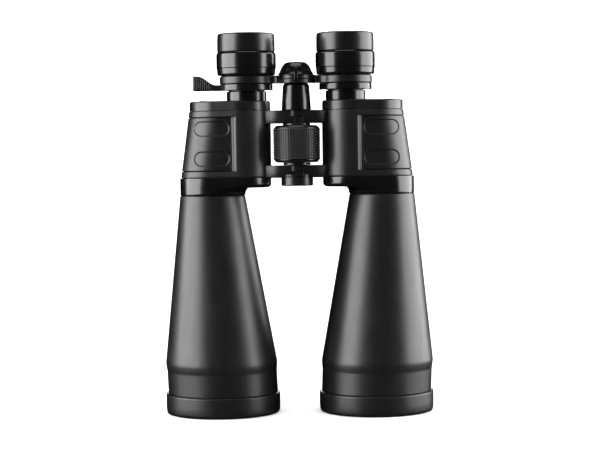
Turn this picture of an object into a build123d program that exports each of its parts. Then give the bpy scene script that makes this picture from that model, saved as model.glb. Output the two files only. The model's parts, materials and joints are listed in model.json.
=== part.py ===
from build123d import *
import math
import os

# Zoom porro-prism binoculars of the 70 mm class, standing on their objective rims.
#
# Frame, in millimetres: Z = 0 is the face of the objective rims and +Z runs up to the eyecups.
# X = 0 is the hinge plane and Y = 0 holds both objective axes. The top side of the
# binoculars, with the focus wheel, faces -Y, so the user's right half lies at -X.
# Every part of a half is built for the +X side and mirrored for the other one.

# ---------------------------------------------------------------- plan positions
OBJECTIVE_X = 55.2
EYE_X = 35.15
EYE_Y = -9.2
HINGE_Y = -15.2

# ---------------------------------------------------------------- heights
RIM_TOP = 14.5
SHOULDER_LOW = 31.0
SHOULDER_HIGH = 37.0
NECK_SEAM = 156.0
FLANGE_LOW = 161.5
HOUSING_LOW = 168.7
SHELF_LOW = 190.8
SHELF_HIGH = 192.8
HOUSING_HIGH = 216.0
COVER_HIGH = 223.0
GUIDE_HIGH = 229.6
ZOOM_LOW = 230.1
ZOOM_HIGH = 234.7
EYE_RING_LOW = 240.75
EYECUP_LOW = 257.6
EYECUP_HIGH = 270.8

# ---------------------------------------------------------------- objective and barrel
RIM_R = 41.0
RIM_BORE_R = 38.0
RIM_LIP_R = 36.2
BARREL_R = 39.4
SHOULDER_R = 40.0
NECK_R = 23.3
NECK_X = 60.6
BARREL_WALL = 2.0
SPIGOT_R = 37.9
SPIGOT_BORE_R = 36.0
SPIGOT_LOW = 4.0
LENS_SEAT = 17.0
LENS_R = 35.9

# ---------------------------------------------------------------- prism housing
BULGE_X = 38.6
BULGE_Y = -6.4
BULGE_R = 20.2
HOUSING_WALL = 2.4
LOW_REACH = 83.2
LOW_HALF_DEPTH = 23.5
HIGH_REACH = 76.75
HIGH_HALF_DEPTH = 23.0
COVER_REACH = 76.6
COVER_HALF_DEPTH = 22.6
FLANGE_REACH = 83.9
BACK_CORNER_R = 14.0
GRIP_LOW = 173.4
GRIP_HIGH = 211.5
GRIP_THICK = 1.2
GRIP_START_X = 46.2
STADIUM_HEIGHTS = (182.1, 203.4)
STADIUM_X = (47.4, 72.8)
STADIUM_TALL = 10.5
STADIUM_DEEP = 0.6

# ---------------------------------------------------------------- prisms
PRISM_HALF = 15.6
PRISM_WIDE = 15.2
PRISM_FLAT = 0.9
WINDOW_R = 7.3
CLIP_WIDE = 6.0
CLIP_THICK = 0.5

# ---------------------------------------------------------------- hinge and focus
ARM_HALF_DEPTH = 8.0
UPPER_ARM = (206.6, 215.9)
LOWER_ARM = (168.2, 177.1)
LUG_GAP = 0.2
LUG_CLEARANCE = 0.3
FOLD_RELIEF = 54.0
AXLE_R = 5.5
AXLE_BORE_R = 3.15
AXLE_HIGH = 224.0
SLEEVE_LOW_R = 10.5
SLEEVE_HIGH_R = 9.3
SLEEVE_HIGH = 234.8
CAP_R = 11.3
CAP_LOW = 162.4
SOCKET_R = 3.175
SOCKET_DEEP = 9.6
SOCKET_STEM_R = 4.4
WASHER_R = 9.7
WHEEL_LOW = 178.9
WHEEL_HIGH = 205.2
WHEEL_END_R = 14.4
WHEEL_RIM_R = 16.2
WHEEL_CORE_R = 14.9
GRIP_R = 16.9
GRIP_RIDGES = 11
SPINDLE_R = 3.0
PIN_Z = 186.0

# ---------------------------------------------------------------- oculars
GUIDE_R = 14.2
TUBE_R = 12.75
TUBE_BORE_R = 11.0
HEAD_R = 16.7
HEAD_BORE_R = 15.2
HEAD_LOW = 246.0
HEAD_HIGH = 262.0
ZOOM_RING_R = 18.7
OCULAR_ARM = (234.9, 240.6)
OCULAR_ARM_R = 19.0
OCULAR_ARM_HALF_DEPTH = 7.5
HUB_LUG_R = 12.0
HUB_POST_R = 6.5
HUB_HIGH = 250.0
HUB_RIB_WIDE = 2.4
EYE_RING_R = 21.2
EYECUP_R = 20.5
EYECUP_BORE_R = 16.8
LEVER_REACH = 38.25
LEVER_HALF_THICK = 4.0

FIT = 0.05
RUNNING = 0.1


# ---------------------------------------------------------------- helpers
def turned(outline, x=0.0, y=0.0):
    """Solid of revolution about the vertical line through (x, y), from (radius, height) points."""
    points = [(radius, 0, height) for radius, height in outline]
    face = make_face(Polyline(*points, close=True))
    return Pos(x, y, 0) * revolve(face, axis=Axis.Z)


def disc(radius, low, high, x=0.0, y=0.0):
    """Plain upright cylinder between two heights."""
    return Pos(x, y, (low + high) / 2) * Cylinder(radius, high - low)


def tube(outer, inner, low, high, x=0.0, y=0.0, bevel=0.0):
    """Upright tube, with its outer edges bevelled."""
    outline = [
        (inner, low),
        (outer - bevel, low),
        (outer, low + bevel),
        (outer, high - bevel),
        (outer - bevel, high),
        (inner, high),
    ]
    if bevel == 0:
        outline = [(inner, low), (outer, low), (outer, high), (inner, high)]
    return turned(outline, x, y)


def block(x_range, y_range, z_range):
    """Box between given limits."""
    centre = [sum(limits) / 2 for limits in (x_range, y_range, z_range)]
    sizes = [limits[1] - limits[0] for limits in (x_range, y_range, z_range)]
    return Pos(*centre) * Box(*sizes)


def lens(radius, low, high, bulge_low, bulge_high, x, y):
    """Round lens: rim from low to high, each face standing out by its bulge at the axis."""
    top = (0, 0, high + bulge_high)
    bottom = (0, 0, low - bulge_low)
    outline = [
        Line(bottom, top),
        TangentArc(top, (radius, 0, high), tangent=(1, 0, 0)),
        Line((radius, 0, high), (radius, 0, low)),
        TangentArc(bottom, (radius, 0, low), tangent=(1, 0, 0)),
    ]
    return Pos(x, y, 0) * revolve(make_face(outline), axis=Axis.Z)


def round_slab(circles):
    """Solid through a stack of (height, centre x, radius) circles, straight between them."""
    sections = [Pos(x, 0, height) * Circle(radius) for height, x, radius in circles]
    return loft(sections, ruled=True)


# ---------------------------------------------------------------- housing outline
def plan(reach, half_depth, inset=0.0, stepped=False):
    """Plan of the housing: a half circle at the outer end, a round bulge round the eye axis.

    reach is the outermost x, half_depth the depth each side of Y = 0, inset a wall thickness.
    The front runs straight from the half circle to the bulge, or, when stepped, level with
    half_depth up to a step beside the bulge.
    """
    reach = reach - inset
    depth = half_depth - inset
    bulge = BULGE_R - inset
    corner = BACK_CORNER_R - inset
    outer_x = reach - depth
    inner_x = BULGE_X - bulge
    spacing = math.hypot(outer_x - BULGE_X, BULGE_Y)
    lean = math.atan2(-BULGE_Y, outer_x - BULGE_X) - math.acos((bulge - depth) / spacing)
    front_start = (outer_x + depth * math.cos(lean), depth * math.sin(lean))
    front_end = (BULGE_X + bulge * math.cos(lean), BULGE_Y + bulge * math.sin(lean))
    if stepped:
        front_start = (outer_x, -depth)
        front_end = (BULGE_X + math.sqrt(bulge**2 - (depth + BULGE_Y) ** 2), -depth)
    diagonal = corner * math.sqrt(0.5)
    edges = [
        Line(front_start, front_end),
        ThreePointArc(front_end, (BULGE_X, BULGE_Y - bulge), (inner_x, BULGE_Y)),
        Line((inner_x, BULGE_Y), (inner_x, depth - corner)),
        ThreePointArc(
            (inner_x, depth - corner),
            (inner_x + corner - diagonal, depth - corner + diagonal),
            (inner_x + corner, depth),
        ),
        Line((inner_x + corner, depth), (outer_x, depth)),
        ThreePointArc((outer_x, depth), (reach, 0), front_start),
    ]
    return make_face(edges)


def housing_core(inset=0.0, stepped=False):
    """Tapered solid of the housing, shrunk by inset on every side wall."""
    low = Pos(0, 0, HOUSING_LOW) * plan(LOW_REACH, LOW_HALF_DEPTH, inset, stepped)
    high = Pos(0, 0, HOUSING_HIGH) * plan(HIGH_REACH, HIGH_HALF_DEPTH, inset, stepped)
    return loft([low, high], ruled=True)


def slab(reach, half_depth, low, high, inset=0.0):
    """Straight-sided plate with the housing's plan."""
    return Pos(0, 0, low) * extrude(plan(reach, half_depth, inset), high - low)


# ---------------------------------------------------------------- objective end
def barrel_x(height):
    """Centre of the barrel, which leans outward from the rim to the neck."""
    share = (height - RIM_TOP) / (NECK_SEAM - RIM_TOP)
    return OBJECTIVE_X + (NECK_X - OBJECTIVE_X) * share


def objective_rim():
    outline = [
        (RIM_LIP_R, 0),
        (39.4, 0),
        (40.3, 0.5),
        (40.7, 1.5),
        (RIM_R, 5.0),
        (RIM_R, RIM_TOP - 0.6),
        (RIM_R - 0.6, RIM_TOP),
        (RIM_BORE_R, RIM_TOP),
        (RIM_BORE_R, SPIGOT_LOW - 0.1),
        (RIM_LIP_R, SPIGOT_LOW - 0.1),
    ]
    return turned(outline, OBJECTIVE_X)


def barrel():
    seam_bevel = 0.5
    levels = [
        (RIM_TOP + 0.05, BARREL_R),
        (SHOULDER_LOW, BARREL_R),
        (SHOULDER_HIGH, SHOULDER_R),
        (NECK_SEAM - seam_bevel, NECK_R),
        (NECK_SEAM, NECK_R - seam_bevel),
    ]
    outside = round_slab([(z, barrel_x(z), r) for z, r in levels])
    inner_levels = [
        (LENS_SEAT + 2.0, BARREL_R - 2 * BARREL_WALL),
        (SHOULDER_HIGH, SHOULDER_R - BARREL_WALL),
        (NECK_SEAM + 0.1, NECK_R - BARREL_WALL),
    ]
    inside = round_slab([(z, barrel_x(z), r) for z, r in inner_levels])
    spigot = disc(SPIGOT_R, SPIGOT_LOW, RIM_TOP + 0.05, OBJECTIVE_X)
    lens_bore = disc(SPIGOT_BORE_R, SPIGOT_LOW - 1, LENS_SEAT, OBJECTIVE_X)
    seat_bore = disc(SPIGOT_BORE_R - 2.0, LENS_SEAT - 1, LENS_SEAT + 2.5, OBJECTIVE_X)
    return outside + spigot - inside - lens_bore - seat_bore


def objective_lens():
    return lens(LENS_R, 9.0, LENS_SEAT - 0.05, 1.6, 0.4, OBJECTIVE_X, 0)


def lens_retainer():
    return tube(LENS_R, LENS_R - 2.4, 5.4, 8.7, OBJECTIVE_X, 0, 0.4)


def neck_collar():
    neck_x = FLANGE_REACH - LOW_HALF_DEPTH - 0.1
    radius = LOW_HALF_DEPTH + 0.1
    flare = [
        (NECK_R - 0.5, NECK_SEAM + 0.05),
        (NECK_R + 0.2, NECK_SEAM + 0.6),
        (radius, NECK_SEAM + 2.0),
        (radius + 0.3, NECK_SEAM + 3.4),
        (radius + 1.2, NECK_SEAM + 4.6),
        (radius + 2.8, NECK_SEAM + 5.5),
        (radius + 5.0, NECK_SEAM + 6.0),
        (radius + 5.0, FLANGE_LOW + 1.5),
        (0, FLANGE_LOW + 1.5),
        (0, NECK_SEAM + 0.05),
    ]
    root = turned(flare, neck_x) & slab(FLANGE_REACH, LOW_HALF_DEPTH, NECK_SEAM, HOUSING_LOW)
    flange = slab(FLANGE_REACH, LOW_HALF_DEPTH, FLANGE_LOW, HOUSING_LOW - 0.1)
    rim = flange.faces().sort_by(Axis.Z)[0].edges()
    inner_rim = [edge for edge in rim if edge.center().X < 40]
    flange = fillet(inner_rim, 2.4)
    light = disc(NECK_R - 2.2, NECK_SEAM - 1, FLANGE_LOW, NECK_X)
    window = disc(16.5, FLANGE_LOW - 1, HOUSING_LOW + 1, OBJECTIVE_X)
    return root + flange - light - window


# ---------------------------------------------------------------- prism housing
COVER_SCREWS = [(66.0, -14.0), (66.0, 14.0), (23.0, 6.0)]


def grip_zone(margin):
    """Region of the outer end that the grip skin wraps, grown by margin."""
    return block(
        (GRIP_START_X - margin, 100), (-60, 60), (GRIP_LOW - margin, GRIP_HIGH + margin)
    )


def prism_housing():
    shell = housing_core() - housing_core(HOUSING_WALL, stepped=True)
    floor = housing_core(HOUSING_WALL / 2) & block(
        (0, 100), (-60, 60), (HOUSING_LOW, HOUSING_LOW + 2.5)
    )
    bosses = Part() + [disc(3.4, 204, HOUSING_HIGH, x, y) for x, y in COVER_SCREWS]
    bosses = bosses & housing_core(0.5)
    body = shell + floor + bosses
    pocket = (housing_core(-1.0) - housing_core(GRIP_THICK, stepped=True)) & grip_zone(0)
    body = body - pocket
    body = body - disc(16.0, HOUSING_LOW - 1, HOUSING_LOW + 4, OBJECTIVE_X)
    body = body - disc(GUIDE_R + FIT, HOUSING_HIGH - 4.2, HOUSING_HIGH + 1, EYE_X, EYE_Y)
    for x, y in COVER_SCREWS:
        body = body - disc(1.25, 206, HOUSING_HIGH + 1, x, y)
    return body


def stadium_cut():
    """Two full-round slots, one above the other, through the whole depth of the housing."""
    low_x, high_x = STADIUM_X
    cuts = Part()
    for height in STADIUM_HEIGHTS:
        sketch = Pos((low_x + high_x) / 2, height) * SlotOverall(high_x - low_x, STADIUM_TALL)
        cuts = cuts + extrude(Plane.XZ * sketch, 60, both=True)
    return cuts


def grip_panel():
    core = housing_core(stepped=True)
    skin = (core - housing_core(GRIP_THICK - 0.1, stepped=True)) & grip_zone(-0.2)
    recess = (housing_core(-0.5) - housing_core(STADIUM_DEEP, stepped=True)) & stadium_cut()
    return skin - recess


def top_cover():
    plate = slab(COVER_REACH, COVER_HALF_DEPTH, HOUSING_HIGH + 0.25, COVER_HIGH, 0.2)
    top_edges = plate.faces().sort_by(Axis.Z)[-1].edges()
    plate = fillet(top_edges, 1.2)
    cavity = slab(COVER_REACH, COVER_HALF_DEPTH, HOUSING_HIGH, COVER_HIGH - 2.4, HOUSING_WALL)
    cavity = cavity - disc(GUIDE_R + 2.5, HOUSING_HIGH, COVER_HIGH, EYE_X, EYE_Y)
    for x, y in COVER_SCREWS:
        cavity = cavity - disc(3.4, HOUSING_HIGH, COVER_HIGH, x, y)
    plate = plate - cavity - disc(GUIDE_R + FIT, HOUSING_HIGH, COVER_HIGH, EYE_X, EYE_Y)
    for x, y in COVER_SCREWS:
        plate = plate - disc(1.5, HOUSING_HIGH, COVER_HIGH, x, y)
        plate = plate - disc(2.9, COVER_HIGH - 1.0, COVER_HIGH + 1, x, y)
    return plate


def cover_screws():
    screws = Part()
    for x, y in COVER_SCREWS:
        head = tube(2.7, 0, COVER_HIGH - 1.0, COVER_HIGH + 0.3, x, y, 0.3)
        shank = disc(1.15, COVER_HIGH - 14, COVER_HIGH - 1.0, x, y)
        slots = block((x - 1.7, x + 1.7), (y - 0.35, y + 0.35), (COVER_HIGH - 0.5, COVER_HIGH + 1))
        slots = slots + block(
            (x - 0.35, x + 0.35), (y - 1.7, y + 1.7), (COVER_HIGH - 0.5, COVER_HIGH + 1)
        )
        screws = screws + (head + shank - slots)
    return screws


# ---------------------------------------------------------------- prisms
SHIFT_X = EYE_X - OBJECTIVE_X
SHIFT_Y = EYE_Y
PRISM_SHIFT = math.hypot(SHIFT_X, SHIFT_Y) / math.sqrt(2)
UPPER_ANGLE = math.degrees(math.atan2(SHIFT_Y, SHIFT_X)) - 45
LOWER_ANGLE = UPPER_ANGLE + 90
MIDDLE_X = OBJECTIVE_X + PRISM_SHIFT * math.cos(math.radians(UPPER_ANGLE))
MIDDLE_Y = PRISM_SHIFT * math.sin(math.radians(UPPER_ANGLE))


def at_upper_prism():
    """Place on the shelf's upper face, its x along the upper prism's long side."""
    return Pos((OBJECTIVE_X + MIDDLE_X) / 2, MIDDLE_Y / 2, SHELF_HIGH) * Rot(0, 0, UPPER_ANGLE)


def at_lower_prism():
    """Place under the shelf, turned over, its x along the lower prism's long side."""
    centre = Pos((MIDDLE_X + EYE_X) / 2, (MIDDLE_Y + EYE_Y) / 2, SHELF_LOW)
    return centre * Rot(0, 0, LOWER_ANGLE) * Rot(180, 0, 0)


def porro_prism():
    """Right-angle prism lying on its long face, with its sharp edges cut off."""
    cut = PRISM_FLAT
    tall = PRISM_HALF - cut
    outline = Polyline(
        (-PRISM_HALF + cut, 0),
        (PRISM_HALF - cut, 0),
        (PRISM_HALF - cut, cut),
        (cut, tall),
        (-cut, tall),
        (-PRISM_HALF + cut, cut),
        close=True,
    )
    return extrude(Plane.XZ * make_face(outline), PRISM_WIDE / 2, both=True)


def prism_clip():
    """Spring strap over one prism, its two legs standing on the shelf."""
    reach = PRISM_WIDE / 2 + FIT
    tall = PRISM_HALF - PRISM_FLAT
    half = CLIP_WIDE / 2
    outer = block((-half, half), (-reach - CLIP_THICK, reach + CLIP_THICK), (0, tall + CLIP_THICK))
    inner = block((-half - 1, half + 1), (-reach, reach), (-1, tall + FIT))
    return outer - inner


def prism_shelf():
    core = housing_core(HOUSING_WALL + 0.1, stepped=True)
    plate = core & block((0, 100), (-60, 60), (SHELF_LOW, SHELF_HIGH))
    for x, y in ((OBJECTIVE_X, 0), (MIDDLE_X, MIDDLE_Y), (EYE_X, EYE_Y)):
        plate = plate - disc(WINDOW_R, SHELF_LOW - 1, SHELF_HIGH + 1, x, y)
    return plate


def prism_clips():
    return Part() + [at_upper_prism() * prism_clip(), at_lower_prism() * prism_clip()]


# ---------------------------------------------------------------- bridge arms
def lug_levels(heights, lug_on_top):
    """Heights of this half's lug, and of the opening cut for the other half's lug."""
    low, high = heights
    middle = (low + high) / 2
    half_gap = LUG_GAP / 2
    if lug_on_top:
        return (middle + half_gap, high), (low - 1, middle + half_gap)
    return (low, middle - half_gap), (middle - half_gap, high + 1)


def at_hinge(radius, level):
    return disc(radius, level[0], level[1], 0, HINGE_Y)


def bridge_arm(heights, lug_on_top):
    """Arm from the hinge axle to the housing wall, built for the +X half."""
    own, opening = lug_levels(heights, lug_on_top)
    depth = (HINGE_Y - ARM_HALF_DEPTH, HINGE_Y + ARM_HALF_DEPTH)
    arm = block((0, 26), depth, heights)
    relief = ARM_HALF_DEPTH + LUG_CLEARANCE
    arm = arm - at_hinge(relief, opening)
    swung = block((-40, 0), (-relief, relief), opening)
    arm = arm - Pos(0, HINGE_Y, 0) * Rot(0, 0, -FOLD_RELIEF) * swung
    arm = arm + at_hinge(ARM_HALF_DEPTH, own)
    arm = arm - at_hinge(AXLE_R + FIT, (heights[0] - 1, heights[1] + 1))
    wall = disc(BULGE_R + FIT, heights[0] - 1, heights[1] + 1, BULGE_X, BULGE_Y)
    flat_wall = block((BULGE_X - BULGE_R, 40), (BULGE_Y, 0), (heights[0] - 1, heights[1] + 1))
    return arm - wall - flat_wall


def ocular_arm(lug_on_top):
    """Arm of the ocular bridge: a ring round the ocular tube and a lug on the hub post."""
    own, opening = lug_levels(OCULAR_ARM, lug_on_top)
    ring = disc(OCULAR_ARM_R, OCULAR_ARM[0], OCULAR_ARM[1], EYE_X, EYE_Y)
    length = math.hypot(EYE_X, EYE_Y - HINGE_Y)
    angle = math.degrees(math.atan2(EYE_Y - HINGE_Y, EYE_X))
    bar = block((0, length), (-OCULAR_ARM_HALF_DEPTH, OCULAR_ARM_HALF_DEPTH), OCULAR_ARM)
    arm = ring + Pos(0, HINGE_Y, 0) * Rot(0, 0, angle) * bar
    arm = arm - at_hinge(HUB_LUG_R + LUG_CLEARANCE, opening)
    arm = arm + at_hinge(HUB_LUG_R, own)
    arm = arm - at_hinge(HUB_POST_R + RUNNING, (OCULAR_ARM[0] - 1, OCULAR_ARM[1] + 1))
    return arm - disc(TUBE_R + FIT, OCULAR_ARM[0] - 1, OCULAR_ARM[1] + 1, EYE_X, EYE_Y)


# ---------------------------------------------------------------- oculars
def guide_tube():
    return tube(GUIDE_R, TUBE_R + RUNNING, HOUSING_HIGH - 4, GUIDE_HIGH, EYE_X, EYE_Y, 0.4)


def ocular_tube():
    outline = [
        (TUBE_BORE_R, 214.2),
        (TUBE_R, 214.2),
        (TUBE_R, HEAD_LOW),
        (HEAD_R, HEAD_LOW),
        (HEAD_R, HEAD_HIGH),
        (HEAD_BORE_R, HEAD_HIGH),
        (HEAD_BORE_R, HEAD_LOW + 2),
        (TUBE_BORE_R, HEAD_LOW + 2),
    ]
    return turned(outline, EYE_X, EYE_Y)


def zoom_ring():
    return tube(ZOOM_RING_R, TUBE_R + RUNNING, ZOOM_LOW, ZOOM_HIGH, EYE_X, EYE_Y, 0.5)


def zoom_cell():
    outline = [
        (7.6, 221.0),
        (TUBE_BORE_R - RUNNING, 221.0),
        (TUBE_BORE_R - RUNNING, 230.0),
        (8.6, 230.0),
        (8.6, 223.0),
        (7.6, 223.0),
    ]
    return turned(outline, EYE_X, EYE_Y)


def zoom_lens():
    return lens(8.55, 223.8, 226.5, 0.7, 1.2, EYE_X, EYE_Y)


def ocular_ring():
    """Ring under the eyecup: a cup with a bored floor."""
    outline = [
        (TUBE_R + RUNNING, EYE_RING_LOW),
        (EYE_RING_R - 1.6, EYE_RING_LOW),
        (EYE_RING_R - 0.5, EYE_RING_LOW + 0.6),
        (EYE_RING_R, EYE_RING_LOW + 2.0),
        (EYE_RING_R, EYECUP_LOW - 1.4),
        (EYE_RING_R - 0.3, EYECUP_LOW - 0.7),
        (EYE_RING_R - 1.0, EYECUP_LOW - 0.2),
        (19.4, EYECUP_LOW - 0.2),
        (19.4, EYE_RING_LOW + 2.2),
        (TUBE_R + RUNNING, EYE_RING_LOW + 2.2),
    ]
    return turned(outline, EYE_X, EYE_Y)


def eye_cell():
    outline = [
        (10.2, 250.0),
        (HEAD_BORE_R - RUNNING, 250.0),
        (HEAD_BORE_R - RUNNING, 261.0),
        (11.0, 261.0),
        (10.2, 259.6),
        (11.6, 259.6),
        (11.6, 254.5),
        (10.2, 254.5),
    ]
    return turned(outline, EYE_X, EYE_Y)


def eye_lens():
    return lens(11.55, 254.6, 258.4, 0.3, 1.0, EYE_X, EYE_Y)


def eyecup():
    outline = [
        (EYECUP_BORE_R, 250.5),
        (18.8, 250.5),
        (18.8, EYECUP_LOW),
        (EYECUP_R - 0.4, EYECUP_LOW),
        (EYECUP_R, EYECUP_LOW + 0.5),
        (EYECUP_R - 0.1, EYECUP_HIGH - 3.0),
        (EYECUP_R - 0.4, EYECUP_HIGH - 1.2),
        (EYECUP_R - 1.4, EYECUP_HIGH - 0.2),
        (EYECUP_R - 2.4, EYECUP_HIGH),
        (EYECUP_R - 3.4, EYECUP_HIGH - 0.5),
        (EYECUP_BORE_R, EYECUP_HIGH - 2.0),
    ]
    return turned(outline, EYE_X, EYE_Y)


def zoom_lever():
    """Ribbed tab on the zoom ring, drawn for +X and mirrored to the right ocular."""
    outer = EYE_X + LEVER_REACH
    base = EYE_X + ZOOM_RING_R - 1.0
    side = [
        Line((base, ZOOM_LOW + 0.1), (outer - 0.5, ZOOM_LOW + 0.1)),
        Line((outer - 0.5, ZOOM_LOW + 0.1), (outer, ZOOM_LOW + 0.8)),
        Line((outer, ZOOM_LOW + 0.8), (outer - 0.9, 241.1)),
        Spline(
            (outer - 0.9, 241.1),
            (outer - 7.0, 239.4),
            (outer - 12.0, 236.2),
            (outer - 17.0, ZOOM_HIGH - 0.1),
            tangents=((-1, -0.05), (-1, -0.05)),
        ),
        Line((outer - 17.0, ZOOM_HIGH - 0.1), (base, ZOOM_HIGH - 0.1)),
        Line((base, ZOOM_HIGH - 0.1), (base, ZOOM_LOW + 0.1)),
    ]
    tab = extrude(Plane.XZ * make_face(side), LEVER_HALF_THICK, both=True)
    tab = Pos(0, EYE_Y, 0) * tab
    rib_pitch = 1.45
    for number in range(8):
        x = outer - 2.6 - rib_pitch * number
        for y in (EYE_Y - LEVER_HALF_THICK, EYE_Y + LEVER_HALF_THICK):
            tab = tab - block((x, x + 0.6), (y - 0.4, y + 0.4), (ZOOM_LOW + 1.0, 245))
    return tab - disc(ZOOM_RING_R + FIT, ZOOM_LOW - 1, 245, EYE_X, EYE_Y)


# ---------------------------------------------------------------- centre line
def hinge_axle():
    axle = tube(AXLE_R, AXLE_BORE_R, LOWER_ARM[0] + 8.9, AXLE_HIGH)
    foot = tube(AXLE_R, SOCKET_STEM_R + FIT, LOWER_ARM[0] + 0.05, LOWER_ARM[0] + 8.9)
    slot = block((-8, 8), (-1.5, 1.5), (PIN_Z - 1.6, PIN_Z + 8.0))
    return Pos(0, HINGE_Y, 0) * (axle + foot - slot)


def tripod_cap():
    cap_top = LOWER_ARM[0] - 0.05
    outline = [
        (SOCKET_R, CAP_LOW),
        (CAP_R - 0.6, CAP_LOW),
        (CAP_R, CAP_LOW + 0.6),
        (CAP_R, cap_top),
        (SOCKET_STEM_R, cap_top),
        (SOCKET_STEM_R, CAP_LOW + SOCKET_DEEP + 2.0),
        (0, CAP_LOW + SOCKET_DEEP + 2.0),
        (0, CAP_LOW + SOCKET_DEEP),
        (SOCKET_R, CAP_LOW + SOCKET_DEEP),
    ]
    return turned(outline, 0, HINGE_Y)


def hinge_washers():
    low = tube(WASHER_R, AXLE_R + FIT, LOWER_ARM[1] + 0.1, WHEEL_LOW - 0.1, 0, HINGE_Y, 0.2)
    high = tube(WASHER_R, AXLE_R + FIT, WHEEL_HIGH + 0.1, UPPER_ARM[0] - 0.05, 0, HINGE_Y, 0.2)
    return Part() + [low, high]


def axle_sleeve():
    low = UPPER_ARM[1] + 0.1
    outline = [
        (AXLE_R + FIT, low),
        (SLEEVE_LOW_R, low),
        (SLEEVE_HIGH_R, SLEEVE_HIGH - 0.8),
        (SLEEVE_HIGH_R - 0.8, SLEEVE_HIGH),
        (SPINDLE_R + 0.15, SLEEVE_HIGH),
        (SPINDLE_R + 0.15, AXLE_HIGH + 0.1),
        (AXLE_R + FIT, AXLE_HIGH + 0.1),
    ]
    return turned(outline, 0, HINGE_Y)


def focus_wheel():
    chamfer_tall = WHEEL_RIM_R - WHEEL_END_R
    chamber = (PIN_Z - 2.2, PIN_Z + 8.6)
    bore = AXLE_R + RUNNING
    outline = [
        (bore, WHEEL_LOW),
        (WHEEL_END_R, WHEEL_LOW),
        (WHEEL_RIM_R, WHEEL_LOW + chamfer_tall),
        (WHEEL_CORE_R, WHEEL_LOW + chamfer_tall),
        (WHEEL_CORE_R, WHEEL_HIGH - chamfer_tall),
        (WHEEL_RIM_R, WHEEL_HIGH - chamfer_tall),
        (WHEEL_END_R, WHEEL_HIGH),
        (bore, WHEEL_HIGH),
        (bore, chamber[1]),
        (8.4, chamber[1]),
        (8.4, chamber[0]),
        (bore, chamber[0]),
    ]
    return turned(outline, 0, HINGE_Y)


def focus_grip():
    """Rubber tyre of the focus wheel, with ridges round it."""
    low = WHEEL_LOW + WHEEL_RIM_R - WHEEL_END_R + FIT
    high = WHEEL_HIGH - WHEEL_RIM_R + WHEEL_END_R - FIT
    pitch = (high - low) / GRIP_RIDGES
    outline = [(WHEEL_CORE_R + FIT, high), (WHEEL_CORE_R + FIT, low)]
    for number in range(GRIP_RIDGES):
        start = low + pitch * number
        outline.append((GRIP_R - 0.7, start))
        outline.append((GRIP_R - 0.7, start + pitch * 0.2))
        outline.append((GRIP_R, start + pitch * 0.3))
        outline.append((GRIP_R, start + pitch * 0.7))
        outline.append((GRIP_R - 0.7, start + pitch * 0.8))
    outline.append((GRIP_R - 0.7, high))
    return turned(outline, 0, HINGE_Y)


def focus_spindle():
    """Rod that lifts the ocular bridge, with the cross pin that the wheel drives."""
    rod = disc(SPINDLE_R, PIN_Z - 4, HUB_HIGH - 6)
    pin = Pos(0, 0, PIN_Z) * Rot(0, 90, 0) * Cylinder(1.2, 15)
    return Pos(0, HINGE_Y, 0) * (rod + pin)


def hub_rib():
    """Rib down the front of the dome, hanging clear of the arms' lugs."""
    deck = OCULAR_ARM[1] + 0.15
    lug = HUB_LUG_R + LUG_CLEARANCE
    side = Polyline(
        (-8.0, deck),
        (-lug, deck),
        (-lug, OCULAR_ARM[0] + 1.3),
        (-lug - 0.7, OCULAR_ARM[0] + 1.3),
        (-lug - 1.2, OCULAR_ARM[0] + 2.1),
        (-lug - 1.2, deck),
        (-lug - 0.6, deck + 2.2),
        (-11.0, deck + 5.8),
        (-8.0, deck + 5.8),
        close=True,
    )
    return Pos(0, HINGE_Y, 0) * extrude(Plane.YZ * make_face(side), HUB_RIB_WIDE / 2, both=True)


def ocular_hub():
    """Dome with a post that both ocular arms turn on, and a short rib down its front."""
    foot = OCULAR_ARM[0] + 0.3
    deck = OCULAR_ARM[1] + 0.1
    outline = [
        (SPINDLE_R + FIT, foot),
        (HUB_POST_R, foot),
        (HUB_POST_R, deck),
        (13.0, deck),
        (12.2, deck + 0.9),
        (11.3, deck + 2.4),
        (10.6, deck + 4.4),
        (9.4, deck + 6.4),
        (7.6, HUB_HIGH - 0.8),
        (5.8, HUB_HIGH),
        (0, HUB_HIGH),
        (0, HUB_HIGH - 5.9),
        (SPINDLE_R + FIT, HUB_HIGH - 5.9),
    ]
    return turned(outline, 0, HINGE_Y) + hub_rib()


# ---------------------------------------------------------------- assembly
def one_half(lug_on_top):
    """Every part that both halves have, built for +X."""
    return {
        "objective_rim": objective_rim(),
        "objective_lens": objective_lens(),
        "lens_retainer": lens_retainer(),
        "barrel": barrel(),
        "neck_collar": neck_collar(),
        "prism_housing": prism_housing(),
        "grip_panel": grip_panel(),
        "top_cover": top_cover(),
        "cover_screws": cover_screws(),
        "prism_shelf": prism_shelf(),
        "upper_prism": at_upper_prism() * porro_prism(),
        "lower_prism": at_lower_prism() * porro_prism(),
        "prism_clips": prism_clips(),
        "upper_arm": bridge_arm(UPPER_ARM, lug_on_top),
        "lower_arm": bridge_arm(LOWER_ARM, lug_on_top),
        "guide_tube": guide_tube(),
        "ocular_tube": ocular_tube(),
        "ocular_arm": ocular_arm(lug_on_top),
        "zoom_ring": zoom_ring(),
        "zoom_cell": zoom_cell(),
        "zoom_lens": zoom_lens(),
        "eye_cell": eye_cell(),
        "eye_lens": eye_lens(),
        "eyecup": eyecup(),
    }


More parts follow.
